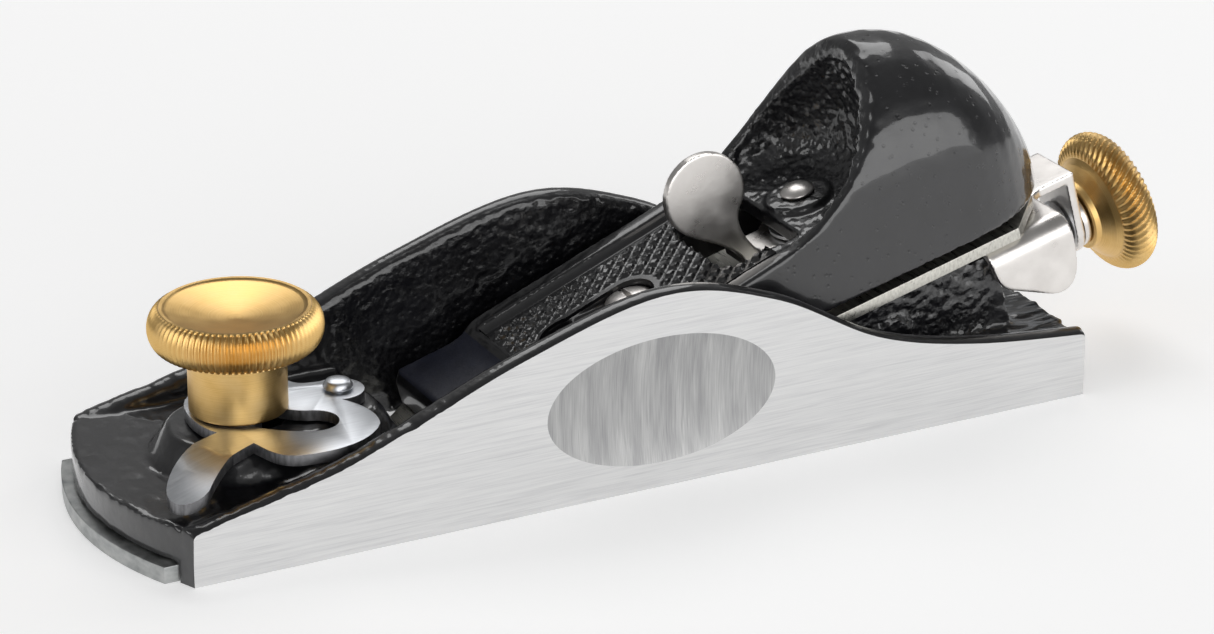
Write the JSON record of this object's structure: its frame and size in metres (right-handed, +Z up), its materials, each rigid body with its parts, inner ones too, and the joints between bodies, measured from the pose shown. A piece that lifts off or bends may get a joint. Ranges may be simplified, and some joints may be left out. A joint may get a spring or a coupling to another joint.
{
  "type": "low-angle block plane",
  "caption": "Small hand plane with polished cheeks, domed palm cap with thumb cam, brass front knob and a rear depth wheel.",
  "frame": {"origin": "middle of the sole, halfway along the cheeks, on the centre line", "axes": "+X from the toe to the heel, +Y towards the right cheek as the user sees it from the heel, +Z up from the sole"},
  "size_m": [0.194, 0.0508, 0.06],
  "materials": {
    "black_enamel": "gloss black enamel over rough cast iron, with the cheeks, toe and heel edges and sole ground bright",
    "ground_iron": "machined grey iron",
    "tool_steel": "ground tool steel",
    "sheet_steel": "zinc-plated steel with a soft sheen",
    "nickel": "bright nickel plate",
    "brass": "satin turned brass"
  },
  "bodies": {
    "body": {"body_casting": "black_enamel", "eccentric_rivet": "sheet_steel", "lateral_pivot_pin": "sheet_steel"},
    "sliding_toe": {"mouth_plate": "ground_iron", "mouth_stud": "sheet_steel"},
    "mouth_lever": {"eccentric_lever": "sheet_steel"},
    "knob": {"front_knob": "brass"},
    "cap_screw": {"lever_cap_screw": "nickel"},
    "cap": {"lever_cap": "black_enamel", "cam_rivet": "nickel", "cam_washer": "sheet_steel"},
    "cam": {"cam_lever": "nickel"},
    "lateral": {"lateral_lever": "nickel"},
    "depth_screw": {"adjuster_wheel": "brass", "adjuster_spindle": "sheet_steel", "spindle_collar": "sheet_steel", "spindle_washer": "nickel"},
    "blade_carriage": {"blade": "tool_steel", "adjuster_nut": "sheet_steel", "nut_pip": "sheet_steel"}
  },
  "joints": [
    {"name": "mouth_slide", "type": "slide", "parent": "body", "child": "sliding_toe", "axis": [1, 0, 0], "range_m": [0, 0.0032]},
    {"name": "mouth_lever_swing", "type": "hinge", "parent": "body", "child": "mouth_lever", "pos_m": [-0.0446, 0, 0.0151], "axis": [0, 0, 1], "range_deg": [-38.1, 0.1]},
    {"name": "knob_turn", "type": "hinge", "parent": "sliding_toe", "child": "knob", "pos_m": [-0.0615, 0, 0.0215], "axis": [0, 0, 1], "continuous": true},
    {"name": "cap_screw_turn", "type": "hinge", "parent": "body", "child": "cap_screw", "pos_m": [0.01022, 0, 0.01048], "axis": [-0.2588, 0, 0.9659], "continuous": true},
    {"name": "cap_slide", "type": "slide", "parent": "body", "child": "cap", "axis": [0.9659, 0, 0.2588], "range_m": [0, 0.012]},
    {"name": "cam_swing", "type": "hinge", "parent": "cap", "child": "cam", "pos_m": [0.03999, 0, 0.02881], "axis": [-0.2588, 0, 0.9659], "range_deg": [-20, 20]},
    {"name": "lateral_swing", "type": "hinge", "parent": "body", "child": "lateral", "pos_m": [0.04284, 0, 0.01819], "axis": [-0.2588, 0, 0.9659], "range_deg": [-1.5, 1.5]},
    {"name": "depth_wheel_turn", "type": "hinge", "parent": "lateral", "child": "depth_screw", "pos_m": [0.09004, 0, 0.01976], "axis": [0.9659, 0, 0.2588], "range_deg": [-455, 1805]},
    {"name": "blade_slide", "type": "slide", "parent": "lateral", "child": "blade_carriage", "axis": [0.9659, 0, 0.2588], "range_m": [-0.001, 0.004]}
  ],
  "couplings": [
    {"joint": "mouth_lever_swing", "follows": "mouth_slide", "rad_per_m": -207.26},
    {"joint": "depth_wheel_turn", "follows": "blade_slide", "rad_per_m": 7854}
  ]
}
